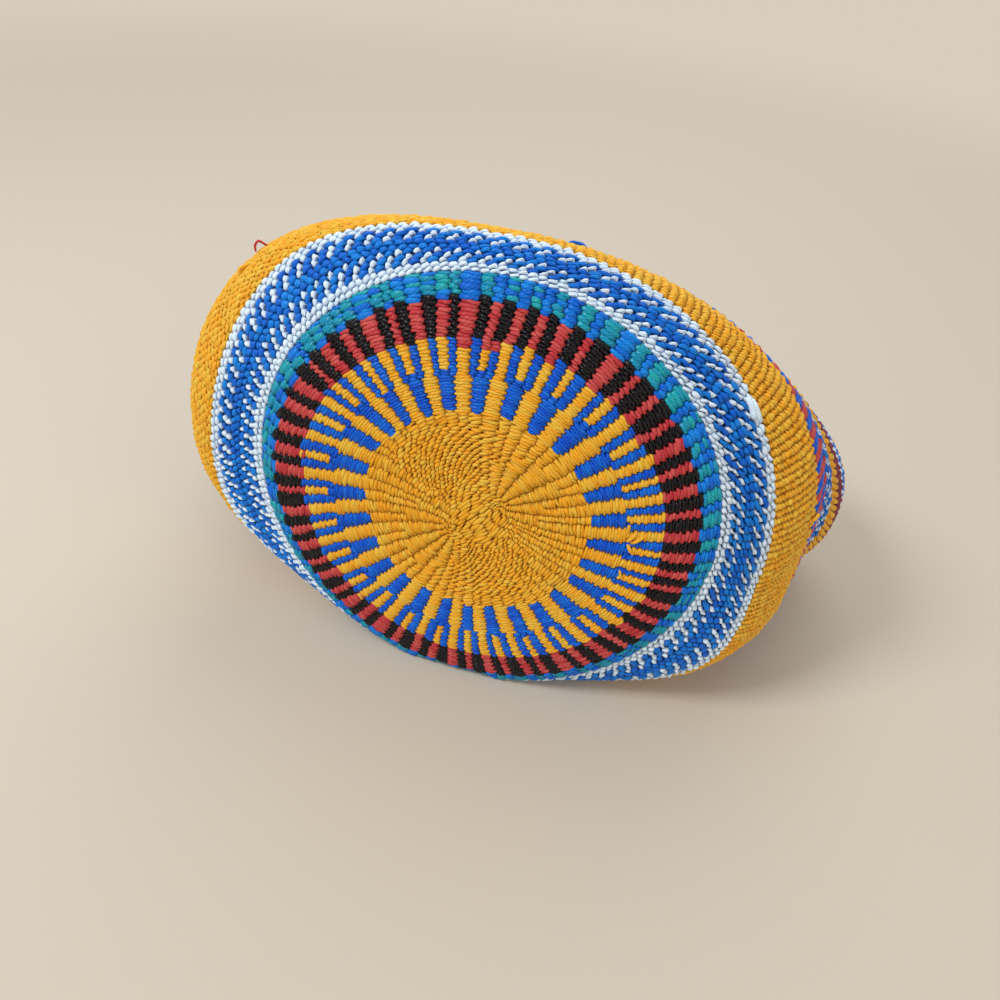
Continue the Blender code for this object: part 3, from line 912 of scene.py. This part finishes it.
def loose_end(name, string, radius, places):
    """A short end of string left on the surface: a tube through places, each an arc length in
    millimetres, an angle in degrees and a height above the wall, tapered at its two tips."""
    known = np.arange(len(places))
    steps = np.linspace(0, known[-1], STEPS_BETWEEN * known[-1] + 1)
    arcs, degrees, heights = smooth_through(known, np.array(places, dtype=float), steps).T
    path = on_wall(arcs * MM, np.radians(degrees), -heights * MM)
    turn = np.arange(SIDES) * TAU / SIDES
    shares = np.linspace(-1, 1, len(steps))
    width = radius * MM * np.sqrt(np.maximum(1 - shares**8, 0.02))
    ahead = unit(np.gradient(path, axis=0))
    points = tube_rings(path, ahead, (0.31, -0.82, 0.48), width[:, None, None], turn)
    # The last station's quads would lead back to the first, so two caps close the tube instead.
    quads = tube_quads(len(steps), SIDES)[:-SIDES].tolist()
    last = (len(steps) - 1) * SIDES
    caps = [list(range(SIDES)), list(range(last, last + SIDES))[::-1]]
    mesh = bpy.data.meshes.new(name)
    mesh.from_pydata(points.reshape(-1, 3).tolist(), [], quads + caps)
    mesh.materials.append(MATERIALS[string])
    mesh.shade_smooth()
    corners = np.empty(len(mesh.loops), np.int32)
    mesh.loops.foreach_get("vertex_index", corners)
    run = np.append(0.0, np.cumsum(np.linalg.norm(np.diff(path, axis=0), axis=-1))) / MM
    strand = np.stack([run[corners // SIDES], turn[corners % SIDES] * radius], axis=1)
    mesh.uv_layers.new(name="strand").data.foreach_set("uv", strand.astype(np.float32).ravel())
    tone = mesh.attributes.new("tone", "FLOAT", "FACE")
    tone.data.foreach_set("value", np.full(len(mesh.polygons), 0.5, np.float32))
    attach(stand(name, mesh), "root")


# Each one's name, string, radius in millimetres and places.
LOOSE_ENDS = (
    ("red_string_end", RED, 0.55,
     ((161, 135.2, -1), (160, 135.5, 1.5), (159, 136, 3.8), (158.6, 136.8, 3.2),
      (158.6, 137.6, 0.6))),
    ("brown_string_end", YELLOW, 0.9,
     ((155, 140.2, -1), (154, 140.8, 0.8), (153.5, 141.6, 1.4), (153.5, 142.4, -0.5))),
    ("blue_string_end", SKY, 0.7,
     ((158, 84.6, -0.6), (158.5, 83.8, 0.8), (159, 82.6, 1), (159, 81.4, -0.6))),
    ("yellow_string_end", YELLOW, 0.9,
     ((160, 10, -1), (161.5, 10.8, 1.1), (163.5, 11.2, 1.5), (165, 10.4, -0.5))),
    ("white_patch_string", WHITE, 1.3,
     ((132, 37.2, -0.6), (132.2, 38.2, 0.3), (132.6, 40, 0.4), (133, 41.6, -0.6))),
    ("white_second_string", WHITE, 1.3,
     ((134, 36.6, -0.6), (134.2, 37.8, 0.3), (134.4, 39.6, 0.4), (134.8, 41, -0.6))),
    ("yellow_tuft_tip", YELLOW, 0.8, ((69, 9, -0.8), (69.6, 11.4, 0.4), (70.2, 14, 0.9))),
    ("yellow_tuft_left", YELLOW, 0.9, ((69.5, 5.8, -0.7), (71.3, 8.2, 0.5), (73.6, 10.6, -0.7))),
    ("yellow_tuft_right", YELLOW, 0.85, ((71, 5.4, -0.7), (74, 7.4, 0.5), (77, 9.2, -0.7))),
    ("yellow_cross_string", YELLOW, 0.85, ((69.8, 5.2, -0.7), (71.5, 3, 0.6), (73.5, 0.8, -0.7))),
    ("yellow_thin_cross", YELLOW, 0.6, ((69.6, -6.8, -0.6), (71.4, -9, 0.5), (73.4, -11.2, -0.6))),
)

start_knot()
yellow_centre()
inner_spokes()
outer_spokes()
red_and_black()
teal_and_blue()
wall()
warps_inside()
rim_plait()
for end in LOOSE_ENDS:
    loose_end(*end)

# -------- floor, light and camera

PALE = linear("D9CDBD")
# Half the floor's side, and its height: a little lower than in CAD, as stitches stand proud.
FLOOR_HALF = 12.0
FLOOR_LEVEL = -0.0006
LAMPS_FACE = (0, 0, 0.08)


def seen(tree):
    """One for a camera, glossy or transmission ray, so that gloss shows the background too."""
    rays = node(tree, "LightPath").outputs
    either = rays["Is Camera Ray"]
    for ray in ("Is Glossy Ray", "Is Transmission Ray"):
        either = node(tree, "Math", {0: either, 1: rays[ray]}, operation="MAXIMUM").outputs[0]
    return either


def floor():
    """Plain pale floor, wide enough for every view, which runs into the plain background."""
    mesh = bpy.data.meshes.new("floor")
    corners = [(x * FLOOR_HALF, y * FLOOR_HALF, FLOOR_LEVEL)
               for x, y in ((-1, -1), (1, -1), (1, 1), (-1, 1))]
    mesh.from_pydata(corners, [], [(0, 1, 2, 3)])
    finish = {"Base Color": linear("CDBEAB"), "Roughness": 0.85, "Specular IOR Level": 0.2}
    material, tree, shader = new_material("pale_matt_floor", finish)
    # The background's own colour takes over between 0.5 m and 1.7 m from the basket.
    place = node(tree, "TexCoord").outputs["Object"]
    away = node(tree, "VectorMath", {0: place}, operation="LENGTH").outputs["Value"]
    far = node(
        tree, "MapRange", {"Value": away, "From Min": 0.5, "From Max": 1.7},
        interpolation_type="SMOOTHSTEP",
    )
    share = node(tree, "Math", {0: far.outputs[0], 1: seen(tree)}, operation="MULTIPLY")
    plain = node(tree, "Emission", {"Color": PALE, "Strength": 1.0})
    both = {0: share.outputs[0], 1: shader.outputs["BSDF"], 2: plain.outputs[0]}
    mixed = node(tree, "MixShader", both)
    tree.links.new(mixed.outputs[0], tree.nodes["Material Output"].inputs["Surface"])
    mesh.materials.append(material)
    stand("floor", mesh)


def placed(axes, spot):
    """Matrix that sets an object at a spot, with its own axes along these three."""
    rows = zip(np.stack(axes, axis=1), spot)
    return Matrix([[*row, distance] for row, distance in rows] + [[0, 0, 0, 1]])


def lamp(name, place, size, power, colour):
    """Soft square lamp that faces the middle of the basket."""
    light = bpy.data.lights.new(name, "AREA")
    light.size = size
    light.energy = power
    light.color = linear(colour)[:3]
    direction = unit(np.array(place) - LAMPS_FACE)
    side = unit(np.cross((0.0, 0.0, 1.0), direction))
    stand(name, light).matrix_world = placed([side, np.cross(direction, side), direction], place)


def studio():
    """Soft lamps at the left, the right and behind, and an even sky that looks like the floor."""
    lamp("window_left", (-0.9, -0.6, 1.3), 0.45, 15.5, "F0F8FF")
    lamp("fill_right", (1.1, -0.9, 0.9), 1.2, 4.2, "FFF4E8")
    lamp("top_back", (0.1, 0.9, 1.3), 1.2, 9.0, "F4FAFF")
    world = bpy.data.worlds.new("studio")
    bpy.context.scene.world = world
    world.use_nodes = True
    tree = world.node_tree
    sky = tree.nodes["Background"]
    sky.inputs["Color"].default_value = linear("E8EEF2")
    sky.inputs["Strength"].default_value = 0.62
    plain = node(tree, "Background", {"Color": PALE, "Strength": 1.0})
    both = {0: seen(tree), 1: sky.outputs[0], 2: plain.outputs[0]}
    mixed = node(tree, "MixShader", both)
    tree.links.new(mixed.outputs[0], tree.nodes["World Output"].inputs["Surface"])


CAMERA_PLACE = np.array([51.3, -244.7, 341.3]) * MM
YAW, PITCH, ROLL = np.radians([9.54, 42.5, 7.5])
# The focal length is 751 pixels where the frame is 1000 wide.
SENSOR_WIDTH = 36.0
FOCAL_LENGTH = SENSOR_WIDTH * 751 / 1000


def camera():
    """At the photograph's place: it looks down at 42.5 degrees, rolled by 7.5 degrees."""
    ahead = np.array([-math.sin(YAW), math.cos(YAW), 0.0])
    right = np.array([math.cos(YAW), math.sin(YAW), 0.0])
    up = np.array([0.0, 0.0, 1.0])
    forward = ahead * math.cos(PITCH) - up * math.sin(PITCH)
    above = up * math.cos(PITCH) + ahead * math.sin(PITCH)
    frame_right = math.cos(ROLL) * right + math.sin(ROLL) * above
    frame_up = math.cos(ROLL) * above - math.sin(ROLL) * right
    data = bpy.data.cameras.new("camera")
    data.sensor_width = SENSOR_WIDTH
    data.sensor_fit = "HORIZONTAL"
    data.lens = FOCAL_LENGTH
    data.clip_start = 0.01
    obj = stand("camera", data)
    obj.matrix_world = placed([frame_right, frame_up, -forward], CAMERA_PLACE + STANDS_AT)
    bpy.context.scene.camera = obj


floor()
studio()
camera()
bpy.context.scene.view_settings.view_transform = "Standard"
